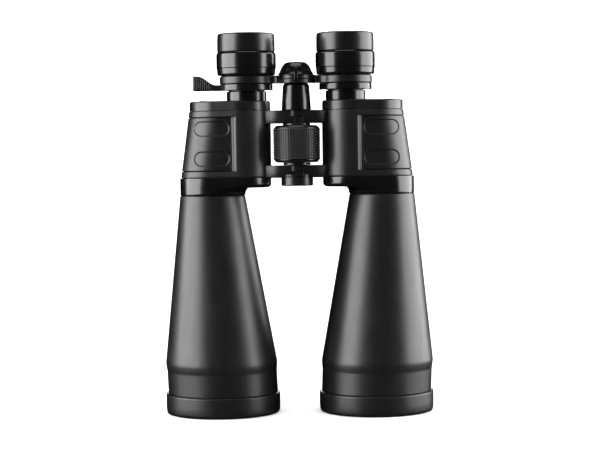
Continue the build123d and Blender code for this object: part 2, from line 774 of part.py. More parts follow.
def all_parts():
    parts = {}
    for name, shape in one_half(lug_on_top=True).items():
        parts["left_" + name] = shape
    for name, shape in one_half(lug_on_top=False).items():
        parts["right_" + name] = mirror(shape, about=Plane.YZ)
    parts["left_diopter_ring"] = ocular_ring()
    parts["right_ocular_ring"] = mirror(ocular_ring(), about=Plane.YZ)
    parts["zoom_lever"] = mirror(zoom_lever(), about=Plane.YZ)
    parts["hinge_axle"] = hinge_axle()
    parts["tripod_cap"] = tripod_cap()
    parts["hinge_washers"] = hinge_washers()
    parts["axle_sleeve"] = axle_sleeve()
    parts["focus_wheel"] = focus_wheel()
    parts["focus_grip"] = focus_grip()
    parts["focus_spindle"] = focus_spindle()
    parts["ocular_hub"] = ocular_hub()
    return parts


os.makedirs("parts", exist_ok=True)
for node, shape in all_parts().items():
    export_step(shape, "parts/" + node + ".step")
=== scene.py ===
import json
import math

import bmesh
import bpy
import numpy as np
from mathutils import Euler, Matrix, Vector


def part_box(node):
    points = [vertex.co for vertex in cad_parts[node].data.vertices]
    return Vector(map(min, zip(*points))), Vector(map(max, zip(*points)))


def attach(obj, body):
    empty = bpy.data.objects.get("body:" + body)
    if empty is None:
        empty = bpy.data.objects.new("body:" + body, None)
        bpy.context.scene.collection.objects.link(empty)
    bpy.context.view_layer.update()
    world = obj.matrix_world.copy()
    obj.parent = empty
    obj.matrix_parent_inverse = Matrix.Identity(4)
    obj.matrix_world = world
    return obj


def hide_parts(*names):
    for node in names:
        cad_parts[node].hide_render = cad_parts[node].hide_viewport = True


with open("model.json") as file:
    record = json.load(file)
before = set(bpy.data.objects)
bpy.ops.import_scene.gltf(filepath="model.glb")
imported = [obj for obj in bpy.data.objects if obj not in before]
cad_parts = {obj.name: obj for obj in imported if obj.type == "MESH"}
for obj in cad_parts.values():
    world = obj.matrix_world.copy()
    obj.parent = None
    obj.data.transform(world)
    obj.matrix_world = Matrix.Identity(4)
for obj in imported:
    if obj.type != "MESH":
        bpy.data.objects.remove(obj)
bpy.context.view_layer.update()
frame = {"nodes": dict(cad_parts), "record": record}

# Shapes are worked out in millimetres in the CAD frame and written to the meshes in metres.
MM = 0.001
SIDES = (("left", 1.0), ("right", -1.0))
record = frame["record"]
BODY_OF = {n: body for body, nodes in record["behaviour"]["bodies"].items() for n in nodes}
SLOT_OF = {row["node"]: row["material_slot"] for row in record["subparts"]}


def box_mm(node):
    low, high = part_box(node)
    return np.array(low) / MM, np.array(high) / MM


def middle(node):
    low, high = box_mm(node)
    return (low + high) / 2


# ------------------------------------------------------------------ sizes read from the frame
RIM_LOW, RIM_HIGH = box_mm("left_objective_rim")
OBJ_X = (RIM_LOW[0] + RIM_HIGH[0]) / 2
RIM_R = (RIM_HIGH[0] - RIM_LOW[0]) / 2
RIM_TOP = RIM_HIGH[2]
EYE_X, EYE_Y = middle("left_guide_tube")[:2]
HINGE_Y = middle("axle_sleeve")[1]
SEAM = box_mm("left_barrel")[1][2]
HOUSE_LOW, HOUSE_HIGH = box_mm("left_prism_housing")
COLLAR_LOW, COLLAR_HIGH = box_mm("left_neck_collar")
COVER_HIGH = box_mm("left_top_cover")[1]
PANEL_LOW, PANEL_HIGH = box_mm("left_grip_panel")
LOW_REACH, LOW_DEPTH = HOUSE_HIGH[0], HOUSE_HIGH[1]
HIGH_REACH, HIGH_DEPTH = COVER_HIGH[0] + 0.35, COVER_HIGH[1] + 0.6

# ------------------------------------------------------------------ sizes of details
BARREL_R = 39.4
SHOULDER_R = 40.0
SHOULDER = (30.6, 37.0)
NECK_R = 23.3
NECK_X = COLLAR_HIGH[0] - LOW_DEPTH + 0.15
BULGE_X, BULGE_Y, BULGE_R = 38.6, HOUSE_LOW[1] + 20.2, 20.2
STEP_FOOT = (45.3, -23.3)
STEP_BLEND = 1.0
STEP_TURN = math.radians(33)
BACK_CORNER_R = 14.0
STADIUM_X = (47.4, 72.8)
STADIUM_HEIGHTS = (182.1, 203.4)
STADIUM_TALL = 10.5
STADIUM_DEEP = 0.5
WALL = 2.4
LIGHT_HOLE_R = 16.0
HOUSING_FLOOR = 2.5
POCKET_DEEP = 1.1
PANEL_THICK = 1.08
PANEL_MARGIN = 0.55
FLANGE_LOW = 161.5
COLLAR_BORE_R = 16.5
OCULAR_BORE_R = 12.85
GUIDE_R = 14.2
OCULAR_ARM_R = 19.0
OCULAR_LUG_R = 12.0
EYECUP_LOW = 257.6
EYECUP_BORE_R = 16.8
SLEEVE_R = 18.8
AXLE_BORE_R = 5.6
BRIDGE_LUG_R = 8.0
BRIDGE_HALF_DEPTH = 7.9
LUG_GAP = 0.1
STUD_COLUMNS = 53
STUD_ROWS = 11
STUD_TALL = 0.62
STUD_SINK = 0.66
TYRE_THICK = 1.05

# Vertices closer than this, in metres, are welded.
WELD = 2e-6


# ------------------------------------------------------------------ mesh helpers
def settle(mesh, sharp=32.0):
    """Weld, drop empty faces, point normals outward and shade smooth with crisp edges."""
    bm = bmesh.new()
    bm.from_mesh(mesh)
    bmesh.ops.remove_doubles(bm, verts=bm.verts, dist=WELD)
    bmesh.ops.dissolve_degenerate(bm, edges=bm.edges, dist=WELD / 2)
    bmesh.ops.recalc_face_normals(bm, faces=bm.faces)
    bm.to_mesh(mesh)
    bm.free()
    mesh.shade_smooth()
    mesh.set_sharp_from_angle(angle=math.radians(sharp))


def piece(name, points, faces, node, sharp=32.0):
    """New mesh piece that rides with a CAD node's body and stands for that node."""
    mesh = bpy.data.meshes.new(name)
    mesh.from_pydata([tuple(p) for p in np.asarray(points) * MM], [], faces)
    settle(mesh, sharp)
    obj = bpy.data.objects.new(name, mesh)
    bpy.context.scene.collection.objects.link(obj)
    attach(obj, BODY_OF[node])
    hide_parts(node)
    mesh.materials.append(MATERIALS[SLOT_OF[node]])
    return obj


def skin(name, rings, node, closed=True, sharp=32.0):
    """Surface through a stack of rings; closed joins the last ring to the first."""
    rings = np.asarray(rings)
    count, steps = rings.shape[:2]
    faces = []
    for i in range(count if closed else count - 1):
        low, high = i * steps, (i + 1) % count * steps
        for j in range(steps):
            k = (j + 1) % steps
            faces.append((low + j, low + k, high + k, high + j))
    if not closed:
        faces.append(tuple(range(steps))[::-1])
        faces.append(tuple(range((count - 1) * steps, count * steps)))
    return piece(name, rings.reshape(-1, 3), faces, node, sharp)


def soften(outline, steps=4):
    """Round each (a, b, radius) corner of a closed outline of (a, b) points."""
    result = []
    count = len(outline)
    for i, corner in enumerate(outline):
        here = np.array(corner[:2], float)
        radius = corner[2] if len(corner) > 2 else 0.0
        if radius == 0.0:
            result.append(here)
            continue
        before = np.array(outline[i - 1][:2], float) - here
        after = np.array(outline[(i + 1) % count][:2], float) - here
        lengths = np.linalg.norm(before), np.linalg.norm(after)
        reach = min(radius, 0.48 * lengths[0], 0.48 * lengths[1])
        start = here + before / lengths[0] * reach
        stop = here + after / lengths[1] * reach
        for t in np.linspace(0, 1, steps + 1):
            result.append((1 - t) ** 2 * start + 2 * t * (1 - t) * here + t**2 * stop)
    return result


def braced(outline, reach=0.35):
    """Closed outline with extra points near both ends of long runs, so flat walls shade flat."""
    result = []
    for here, after in zip(outline, outline[1:] + outline[:1]):
        result.append(here)
        length = float(np.linalg.norm(after - here))
        if length > 4 * reach:
            result.append(here + (after - here) * reach / length)
            result.append(after - (after - here) * reach / length)
    return result


def lathe(name, outline, node, x, y, steps=144, sharp=32.0):
    """Turned piece about the upright line through (x, y), from (radius, height, rounding)."""
    angles = np.linspace(0, 2 * math.pi, steps, endpoint=False)
    rings = []
    for radius, height in braced(soften(outline)):
        across = x + radius * np.cos(angles)
        deep = y + radius * np.sin(angles)
        rings.append(np.stack([across, deep, np.full(steps, height)], axis=1))
    return skin(name, rings, node, True, sharp)


def ramp(value, low, high):
    """Smooth step from 0 at low to 1 at high."""
    t = np.clip((np.asarray(value) - low) / (high - low), 0, 1)
    return t * t * (3 - 2 * t)


# ------------------------------------------------------------------ housing outline
def smooth_min(a, b, blend):
    """Lesser of two distances, with the corner between them rounded over blend."""
    h = np.maximum(blend - np.abs(a - b), 0) / blend
    return np.minimum(a, b) - h * h * blend / 4


def disc_gap(x, y, cx, cy, radius):
    """Signed distance to a disc."""
    return np.hypot(x - cx, y - cy) - radius


def block_gap(x, y, x0, x1, y0, y1):
    """Signed distance to a rectangle."""
    dx = np.maximum(x0 - x, x - x1)
    dy = np.maximum(y0 - y, y - y1)
    outside = np.hypot(np.maximum(dx, 0), np.maximum(dy, 0))
    return outside + np.minimum(np.maximum(dx, dy), 0)


def hull_gap(x, y, ax, ay, a_radius, bx, by, b_radius):
    """Signed distance to the tangent hull of two discs."""
    length = math.hypot(bx - ax, by - ay)
    ux, uy = (bx - ax) / length, (by - ay) / length
    along = (x - ax) * ux + (y - ay) * uy
    across = np.abs((y - ay) * ux - (x - ax) * uy)
    lean = (a_radius - b_radius) / length
    upright = math.sqrt(1 - lean * lean)
    at = along * upright - across * lean
    flank = across * upright + along * lean - a_radius
    start = np.hypot(across, along) - a_radius
    stop = np.hypot(across, along - length) - b_radius
    return np.where(at < 0, start, np.where(at > upright * length, stop, flank))


def plan_gap(x, y, reach, depth, stepped):
    """Signed distance to the housing's plan: round outer end, flat back, bulge by the eye axis.

    The front runs on as one tangent, or steps back beside the bulge where stepped is true.
    """
    end_x = reach - depth
    inner_x = BULGE_X - BULGE_R
    corner = BACK_CORNER_R
    outer = np.minimum(block_gap(x, y, BULGE_X, end_x, -depth, depth),
                       disc_gap(x, y, end_x, 0, depth))
    if stepped:
        bulge = disc_gap(x, y, BULGE_X, BULGE_Y, BULGE_R)
        flank = ((x - STEP_FOOT[0]) * math.cos(STEP_TURN)
                 - (y - STEP_FOOT[1]) * math.sin(STEP_TURN))
        front = smooth_min(outer, -smooth_min(-bulge, -flank, STEP_BLEND), 0.7)
    else:
        hull = hull_gap(x, y, end_x, 0, depth, BULGE_X, BULGE_Y, BULGE_R)
        front = np.minimum(outer, hull)
    back = np.minimum(block_gap(x, y, inner_x, 50, BULGE_Y, depth - corner),
                      block_gap(x, y, inner_x + corner, 50, BULGE_Y, depth))
    back = np.minimum(back, disc_gap(x, y, inner_x + corner, depth - corner, corner))
    return np.minimum(front, back)


def plan_ring(angles, height, reach, depth, inset=0.0, stepped=False):
    """Ring of the plan at one height, seen from the objective axis, pulled in by inset."""
    inset = np.broadcast_to(inset, angles.shape)
    low = np.zeros_like(angles)
    high = np.full_like(angles, 70.0)
    for _ in range(36):
        mid = (low + high) / 2
        x = OBJ_X + mid * np.cos(angles)
        y = mid * np.sin(angles)
        inside = plan_gap(x, y, reach, depth, stepped) < -inset
        low = np.where(inside, mid, low)
        high = np.where(inside, high, mid)
    return np.stack([OBJ_X + low * np.cos(angles), low * np.sin(angles),
                     np.full_like(angles, height)], axis=1)


def housing_size(height):
    """Reach and half depth of the tapered housing at one height."""
    share = (height - HOUSE_LOW[2]) / (HOUSE_HIGH[2] - HOUSE_LOW[2])
    return (LOW_REACH + (HIGH_REACH - LOW_REACH) * share,
            LOW_DEPTH + (HIGH_DEPTH - LOW_DEPTH) * share)


def circle_ring(angles, height, x, radius):
    """Ring of an upright circle centred on (x, 0), on the same rays as the plan rings."""
    shift = OBJ_X - x
    along = shift * np.cos(angles)
    reach = -along + np.sqrt(along**2 - shift**2 + radius**2)
    return np.stack([OBJ_X + reach * np.cos(angles), reach * np.sin(angles),
                     np.full_like(angles, height)], axis=1)


def mirrored(rings, sign):
    """Points of the left half, turned over to the right half where sign is -1."""
    return np.asarray(rings) * np.array([sign, 1.0, 1.0])


def housing_angles():
    """Rays round the housing, packed closely where the grip panel ends."""
    even = np.linspace(-math.pi, math.pi, 240, endpoint=False)
    close = []
    for x in np.linspace(PANEL_LOW[0] - 0.5, PANEL_LOW[0] + 0.3, 13):
        turn = math.atan2(LOW_DEPTH - 0.25, x - OBJ_X)
        close += [turn, -turn]
    for x in np.linspace(STEP_FOOT[0] - 4.0, STEP_FOOT[0] + 0.6, 21):
        close.append(-math.atan2(LOW_DEPTH + 1.2, x - OBJ_X))
    return np.array(sorted(set(np.round(np.concatenate([even, close]), 6))))


def prism_housing(side, sign):
    """Cast shell, with a shallow pocket that the grip panel lies in."""
    angles = housing_angles()
    low, high = HOUSE_LOW[2], HOUSE_HIGH[2]
    first, last = PANEL_LOW[2] - 0.25, PANEL_HIGH[2] + 0.25
    heights = np.concatenate([
        [low + 0.7, low + 1.6, first - 1.6],
        np.linspace(first - 0.7, first + 0.6, 9),
        np.linspace(first + 2, last - 2, 14),
        np.linspace(last - 0.6, last + 0.7, 9),
        [last + 1.6, high - 1.2, high - 0.5],
    ])
    rings = [circle_ring(angles, low, OBJ_X, LIGHT_HOLE_R)]
    rings.append(plan_ring(angles, low, *housing_size(low), 0.7))
    rings.append(plan_ring(angles, low + 0.2, *housing_size(low), 0.2))
    for height in heights:
        size = housing_size(height)
        smooth = plan_ring(angles, height, *size)
        tall = ramp(height, first - 0.35, first + 0.1) * ramp(-height, -last - 0.35, -last + 0.1)
        wide = ramp(smooth[:, 0], PANEL_LOW[0] - 0.45, PANEL_LOW[0] - 0.1)
        pocket = plan_ring(angles, height, *size, POCKET_DEEP * wide, stepped=True)
        rings.append(smooth + (pocket - smooth) * tall)
    rings.append(plan_ring(angles, high - 0.12, *housing_size(high), 0.12))
    rings.append(plan_ring(angles, high, *housing_size(high), 0.5))
    rings.append(plan_ring(angles, high, *housing_size(high), WALL))
    rings.append(plan_ring(angles, low + HOUSING_FLOOR, *housing_size(low), WALL))
    rings.append(circle_ring(angles, low + HOUSING_FLOOR, OBJ_X, LIGHT_HOLE_R))
    return skin(side + "_housing_shell", mirrored(rings, sign), side + "_prism_housing")


def stadium_gap(x, z, height):
    """Distance in side view to a full-round slot at this height."""
    radius = STADIUM_TALL / 2
    along = np.clip(x, STADIUM_X[0] + radius, STADIUM_X[1] - radius)
    return np.hypot(x - along, z - height) - radius


def grip_panel(side, sign):
    """Moulded skin of the outer end: soft edges and two slots pressed into it."""
    columns, margin = 330, PANEL_MARGIN
    heights = np.concatenate([
        PANEL_LOW[2] + np.array([0.0, 0.12, 0.28, 0.5]),
        np.linspace(PANEL_LOW[2] + 0.8, PANEL_HIGH[2] - 0.8, 112),
        PANEL_HIGH[2] - np.array([0.5, 0.28, 0.12, 0.0]),
    ])
    share = np.linspace(-1, 1, columns)
    outer, inner = [], []
    for height in heights:
        reach, depth = housing_size(height)
        end = math.atan2(depth, PANEL_LOW[0] - OBJ_X)
        angles = share * end
        plain = plan_ring(angles, height, reach, depth, stepped=True)
        border = np.minimum(plain[:, 0] - PANEL_LOW[0],
                            min(height - PANEL_LOW[2], PANEL_HIGH[2] - height))
        border = np.clip(border, 0, margin)
        inset = margin - np.sqrt(np.maximum(margin**2 - (margin - border) ** 2, 0))
        for slot in STADIUM_HEIGHTS:
            gap = stadium_gap(plain[:, 0], height, slot)
            inset = inset + STADIUM_DEEP * ramp(-gap, -0.1, 0.55)
        outer.append(plan_ring(angles, height, reach, depth, inset, stepped=True))
        inner.append(plan_ring(angles, height, reach, depth, PANEL_THICK, stepped=True))
    rows = len(heights)
    points = np.concatenate([np.array(outer).reshape(-1, 3), np.array(inner).reshape(-1, 3)])
    back = rows * columns
    faces = []
    for i in range(rows - 1):
        for j in range(columns - 1):
            a, b = i * columns + j, (i + 1) * columns + j
            faces.append((a, a + 1, b + 1, b))
            faces.append((back + a, back + b, back + b + 1, back + a + 1))
    for j in range(columns - 1):
        top = (rows - 1) * columns + j
        faces.append((j, back + j, back + j + 1, j + 1))
        faces.append((top, top + 1, back + top + 1, back + top))
    for i in range(rows - 1):
        a, b = i * columns, (i + 1) * columns
        faces.append((a, b, back + b, back + a))
        a, b = a + columns - 1, b + columns - 1
        faces.append((a, back + a, back + b, b))
    return piece(side + "_grip_skin", mirrored(points, sign), faces, side + "_grip_panel", 50.0)


def neck_collar(side, sign):
    """Polished collar: a round neck that sweeps out under the flange of the housing."""
    angles = np.linspace(-math.pi, math.pi, 288, endpoint=False)
    low, high = COLLAR_LOW[2], COLLAR_HIGH[2]
    reach, depth = COLLAR_HIGH[0], LOW_DEPTH
    rings = [circle_ring(angles, low, NECK_X, 21.1), circle_ring(angles, low, NECK_X, 22.7)]
    rings.append(circle_ring(angles, low + 0.25, NECK_X, 23.2))
    sweep = ((23.62, 1.0), (23.7, 2.0), (24.1, 3.1), (24.9, 4.0), (26.1, 4.7), (27.8, 5.1),
             (30.2, 5.35), (33.5, 5.42), (37.0, 5.45), (80.0, 5.45))
    plain = plan_ring(angles, low, reach, depth)
    edge = 2.6 * ramp(-plain[:, 0], -52.0, -38.0)
    for radius, rise in sweep:
        flare = circle_ring(angles, low + rise, NECK_X, radius)
        rim = plan_ring(angles, low + rise, reach, depth, edge)
        closer = np.hypot(flare[:, 0] - OBJ_X, flare[:, 1]) < np.hypot(rim[:, 0] - OBJ_X, rim[:, 1])
        rings.append(np.where(closer[:, None], flare, rim))
    for turn in np.linspace(0.18, 1.0, 6):
        slope = turn * math.pi / 2
        ring = plan_ring(angles, 0, reach, depth, edge * (1 - math.sin(slope)))
        ring[:, 2] = FLANGE_LOW + edge * (1 - math.cos(slope)) + 0.02 * turn
        rings.append(ring)
    rings.append(plan_ring(angles, high - 0.45, reach, depth))
    rings.append(plan_ring(angles, high - 0.1, reach, depth, 0.12))
    rings.append(plan_ring(angles, high, reach, depth, 0.45))
    rings.append(circle_ring(angles, high, OBJ_X, COLLAR_BORE_R))
    rings.append(circle_ring(angles, FLANGE_LOW, OBJ_X, COLLAR_BORE_R))
    return skin(side + "_collar", mirrored(rings, sign), side + "_neck_collar")


# ------------------------------------------------------------------ objective end
def barrel(side, sign):
    """Leaning tapered barrel with its shoulder, spigot and bore."""
    steps = 160
    angles = np.linspace(0, 2 * math.pi, steps, endpoint=False)
    bottom = RIM_TOP + 0.05

    def centre(height):
        share = max(0.0, (height - RIM_TOP) / (SEAM - RIM_TOP))
        return OBJ_X + (NECK_X + 0.2 - OBJ_X) * share

    taper = (NECK_R - SHOULDER_R) / (SEAM - SHOULDER[1])
    outside = [(bottom, BARREL_R - 0.35), (bottom + 0.12, BARREL_R - 0.1),
               (bottom + 0.5, BARREL_R), (bottom + 0.9, BARREL_R),
               (SHOULDER[0] - 1.0, BARREL_R), (SHOULDER[0] - 0.3, BARREL_R + 0.01),
               (SHOULDER[0] + 0.4, BARREL_R + 0.05), (SHOULDER[0] + 1.4, BARREL_R + 0.28),
               (SHOULDER[1] - 1.6, SHOULDER_R), (SHOULDER[1] - 0.4, SHOULDER_R + 0.05),
               (SHOULDER[1] + 1.2, SHOULDER_R - 0.15), (SHOULDER[1] + 4, SHOULDER_R + taper * 4)]
    for height in np.linspace(SHOULDER[1] + 12, SEAM - 1, 10):
        outside.append((height, SHOULDER_R + taper * (height - SHOULDER[1])))
    outside += [(SEAM - 0.4, NECK_R), (SEAM - 0.1, NECK_R - 0.2), (SEAM, NECK_R - 0.5)]
    inside = [(SEAM, NECK_R - 2.1), (SEAM - 0.5, NECK_R - 2.0), (SHOULDER[1], SHOULDER_R - 2.2),
              (20.0, BARREL_R - 4.2)]
    rings = []
    for height, radius in outside + inside:
        rings.append(np.stack([centre(height) + radius * np.cos(angles),
                               radius * np.sin(angles), np.full(steps, height)], axis=1))
    bore = [(34.0, 19.4), (34.0, 17.0), (36.0, 17.0), (36.0, 4.0), (37.9, 4.0), (37.9, bottom)]
    for radius, height in bore:
        rings.append(np.stack([OBJ_X + radius * np.cos(angles), radius * np.sin(angles),
                               np.full(steps, height)], axis=1))
    return skin(side + "_barrel_tube", mirrored(rings, sign), side + "_barrel")


def objective_rim(side, sign):
    """Rubber-covered front ring with four grooves inside its lip."""
    lip, pitch = 36.2, 0.75
    outline = [(lip, 0.0, 0.2), (38.9, 0.0, 0.5), (40.2, 0.45, 0.8), (40.75, 2.0, 1.2),
               (RIM_R, 5.5, 2.0), (RIM_R, RIM_TOP, 0.9), (38.0, RIM_TOP), (38.0, 3.9),
               (lip, 3.9, 0.1)]
    for step in range(4):
        base = 3.2 - pitch * step
        outline += [(lip, base), (lip + 0.35, base - 0.35), (lip, base - 0.7)]
    return lathe(side + "_rim", outline, side + "_objective_rim", sign * OBJ_X, 0, 176)


# ------------------------------------------------------------------ oculars
def ocular(side, sign):
    """Guide tube, zoom ring, eyepiece ring and eyecup of one side."""
    x, y, bore = sign * EYE_X, EYE_Y, OCULAR_BORE_R
    low, high = box_mm(side + "_guide_tube")
    lathe(side + "_guide", [(bore, low[2]), (GUIDE_R, low[2]), (GUIDE_R, high[2], 0.5),
                            (bore, high[2], 0.3)], side + "_guide_tube", x, y, 112)
    low, high = box_mm(side + "_zoom_ring")
    radius = (high[0] - low[0]) / 2
    lathe(side + "_zoom_band", [(bore, low[2]), (radius, low[2], 0.6), (radius, high[2], 0.6),
                                (bore, high[2])], side + "_zoom_ring", x, y, 128)
    node = "left_diopter_ring" if side == "left" else "right_ocular_ring"
    low, high = box_mm(node)
    radius = (high[0] - low[0]) / 2
    base, top = low[2], high[2]
    lathe(node.replace("ring", "band"), [
        (bore, base), (19.3, base, 0.5), (20.55, base + 0.75, 0.9),
        (radius - 0.28, base + 5.2, 0.3), (radius - 0.02, base + 5.5, 0.3),
        (radius, top - 1.4, 0.9), (radius - 0.9, top - 0.05, 0.7), (19.4, top, 0.2),
        (19.4, base + 2.2), (bore, base + 2.2)], node, x, y, 144)
    low, high = box_mm(side + "_eyecup")
    radius = (high[0] - low[0]) / 2
    base, top = EYECUP_LOW, high[2]
    lathe(side + "_eyecup_skin", [
        (EYECUP_BORE_R, low[2]), (SLEEVE_R, low[2]), (SLEEVE_R, base), (radius - 0.1, base, 0.35),
        (radius, base + 2, 1.0), (radius - 0.05, top - 4.0, 2.0), (radius - 0.35, top - 0.5, 1.3),
        (radius - 1.9, top, 1.0), (radius - 3.2, top - 0.35, 0.6),
        (EYECUP_BORE_R, top - 2.0, 0.6)], side + "_eyecup", x, y, 144)


def lug_level(side, base, top):
    """Bottom and top of a hinge lug: the left half's lugs lie over the right half's."""
    half = (base + top) / 2
    return (half + LUG_GAP, top) if side == "left" else (base, half - LUG_GAP)


def ocular_arm(side, sign):
    """Arm of the ocular bridge: soft-edged ring, flared bar and the lug that turns on the hub."""
    node = side + "_ocular_arm"
    low, high = box_mm(node)
    base, top = low[2], high[2]
    bore, wide = 12.8, OCULAR_ARM_R
    lathe(side + "_arm_ring", [(bore, base), (wide, base, 0.5), (wide, top, 1.5), (bore, top)],
          node, sign * EYE_X, EYE_Y, 128)
    level = lug_level(side, base, top)
    bore, wide = 6.6, OCULAR_LUG_R
    lathe(side + "_arm_lug", [(bore, level[0]), (wide, level[0], 0.3), (wide, level[1], 0.3),
                              (bore, level[1])], node, 0, HINGE_Y, 112)
    span = math.hypot(EYE_X, EYE_Y - HINGE_Y)
    ux, uy = sign * EYE_X / span, (EYE_Y - HINGE_Y) / span

    def bar(name, stations, floor, roof, corner):
        rings = []
        for at, wide in stations:
            outline = soften([(-wide, floor, 0.4), (wide, floor, 0.4), (wide, roof, corner),
                              (-wide, roof, corner)], 5)
            rings.append([(at * ux - across * uy * sign, HINGE_Y + at * uy + across * ux * sign,
                           height) for across, height in outline])
        skin(name, rings, node, False, 40.0)

    bar(side + "_arm_bar", ((12.35, 8.0), (13.2, 7.6), (14.6, 7.45), (16.0, 7.7), (17.2, 8.4),
                            (18.4, 9.6), (20.6, 11.0)), base + 0.12, top - 0.12, 1.4)
    bar(side + "_arm_neck", ((8.0, 7.3), (13.0, 7.3)), level[0] + 0.08, level[1] - 0.08, 0.3)


def zoom_lever():
    """Ribbed tab on the right zoom ring."""
    low, high = box_mm("zoom_lever")
    outer, base, tall = -low[0], low[2], high[2]
    root, rib_start, pitch, shank = 53.3, 58.7, 1.5, 4.4
    nose, power, steps = 1.5, 0.36, 56
    tip = outer - nose + nose * np.sin(np.linspace(0.1, 1.0, 8) * math.pi / 2)
    stations = np.concatenate([np.linspace(root, rib_start - 0.3, 8),
                               np.linspace(rib_start, outer - nose, 112), tip])
    turns = np.linspace(0, 2 * math.pi, steps, endpoint=False)
    rings = []
    for at in stations:
        rise = ramp(at, outer - 16.5, outer - 4.2) * (tall - 0.4 - (base + shank))
        rise += 0.6 * ramp(at, outer - 5.0, outer - 0.5)
        rise = min(rise, tall - 0.15 - (base + shank))
        top = base + shank + rise
        ribs = ramp(at, rib_start + 0.9, rib_start + 1.9)
        wave = 0.5 + 0.5 * math.cos(2 * math.pi * (outer - 1.35 - at) / pitch)
        half = 3.25 + ribs * (0.1 + 0.62 * wave**0.7)
        past = max(0.0, (at - (outer - nose)) / nose)
        pinch = nose * (1 - math.sqrt(max(0.0, 1 - past * past)))
        half, middle_z = half - pinch, (base + 0.1 + top) / 2
        tall_half = (top - base - 0.1) / 2 - pinch
        c, s = np.cos(turns), np.sin(turns)
        across = np.sign(c) * np.abs(c) ** power * half
        upward = np.sign(s) * np.abs(s) ** power * tall_half
        rings.append(np.stack([np.full(steps, -at), EYE_Y + across, middle_z + upward], axis=1))
    return skin("zoom_tab", rings, "zoom_lever", False, 40.0)


# ------------------------------------------------------------------ centre line
def studded_grip():
    """Rubber tyre of the focus wheel: rows of square studs."""
    low, high = box_mm("focus_grip")
    radius = (high[0] - low[0]) / 2
    base, border = radius - STUD_SINK, 0.3
    beat = np.array([0.0, 0.1, 0.18, 0.34, 0.5, 0.66, 0.82, 0.9])
    rise = np.array([0.0, 0.0, 0.7, 1.0, 1.02, 1.0, 0.7, 0.0])
    around = np.concatenate([(beat + i) / STUD_COLUMNS for i in range(STUD_COLUMNS)])
    swell = np.tile(rise, STUD_COLUMNS)
    pitch = (high[2] - low[2] - 2 * border) / STUD_ROWS
    tall_beat = np.array([0.0, 0.1, 0.19, 0.3, 0.5, 0.7, 0.81, 0.9])
    tall_rise = np.array([0.0, 0.0, 0.7, 1.0, 1.0, 1.0, 0.7, 0.0])
    heights = np.concatenate([low[2] + border + (tall_beat + i) * pitch for i in range(STUD_ROWS)])
    lift = np.tile(tall_rise, STUD_ROWS)
    rings = []

    def ring(height, radii):
        turn = around * 2 * math.pi
        return np.stack([radii * np.cos(turn), HINGE_Y + radii * np.sin(turn),
                         np.full(len(turn), height)], axis=1)

    flat = np.full(len(around), base)
    rings.append(ring(low[2], flat - TYRE_THICK))
    rings.append(ring(low[2], flat))
    for height, amount in zip(heights, lift):
        rings.append(ring(height, flat + STUD_TALL * amount * swell))
    rings.append(ring(high[2], flat))
    rings.append(ring(high[2], flat - TYRE_THICK))
    return skin("focus_studs", rings, "focus_grip", True, 60.0)


def centre_line():
    """Turned pieces on the hinge: wheel, sleeve, tripod bush and dome."""
    y, bore = HINGE_Y, AXLE_BORE_R
    low, high = box_mm("focus_wheel")
    end_r, rim_r, core_r, groove_r = 14.4, 16.2, 14.9, 8.4
    groove_low, groove_high = 183.8, 194.6
    lathe("focus_drum", [
        (bore, low[2], 0.3), (end_r, low[2], 0.5), (rim_r, low[2] + 1.8, 0.35),
        (core_r, low[2] + 1.85), (core_r, high[2] - 1.85), (rim_r, high[2] - 1.8, 0.35),
        (end_r, high[2], 0.5), (bore, high[2], 0.3), (bore, groove_high), (groove_r, groove_high),
        (groove_r, groove_low), (bore, groove_low)], "focus_wheel", 0, y, 144)
    low, high = box_mm("axle_sleeve")
    spindle_r, axle_r, axle_high = 3.15, 5.55, 224.1
    lathe("hinge_sleeve", [
        (axle_r, low[2]), (10.5, low[2], 0.5), (9.35, high[2] - 1.3, 1.4), (8.2, high[2], 0.6),
        (spindle_r, high[2]), (spindle_r, axle_high), (axle_r, axle_high)], "axle_sleeve",
        0, y, 128)
    low, high = box_mm("tripod_cap")
    cap_r, cap_high, stem_r = 11.3, 168.15, 4.4
    socket_r, socket_end, groove_r, pitch = 3.175, 172.0, 3.45, 1.27
    outline = [(socket_r, low[2], 0.5), (cap_r, low[2], 0.8), (cap_r, high[2] - 3.5, 0.2),
               (cap_r, cap_high, 0.3), (stem_r, cap_high), (stem_r, high[2]), (0.0, high[2]),
               (0.0, socket_end), (socket_r, socket_end)]
    for step in range(6):
        base = socket_end - 0.8 - pitch * step
        outline += [(socket_r, base), (groove_r, base - 0.4), (socket_r, base - 0.8)]
    lathe("tripod_bush", outline, "tripod_cap", 0, y, 112)
    low, high = box_mm("ocular_hub")
    deck, top = 240.7, high[2]
    bore, post_r, bore_end = 3.05, 6.5, top - 5.9
    lathe("hub_dome", [
        (bore, low[2]), (post_r, low[2]), (post_r, deck), (13.0, deck, 0.3),
        (12.3, deck + 1.0, 0.5), (11.4, deck + 2.4, 0.8), (10.7, deck + 4.4, 1.2),
        (9.5, deck + 6.6, 1.5), (7.3, top - 0.5, 1.2), (5.6, top, 0.7), (0.0, top),
        (0.0, bore_end), (bore, bore_end)], "ocular_hub", 0, y, 128)


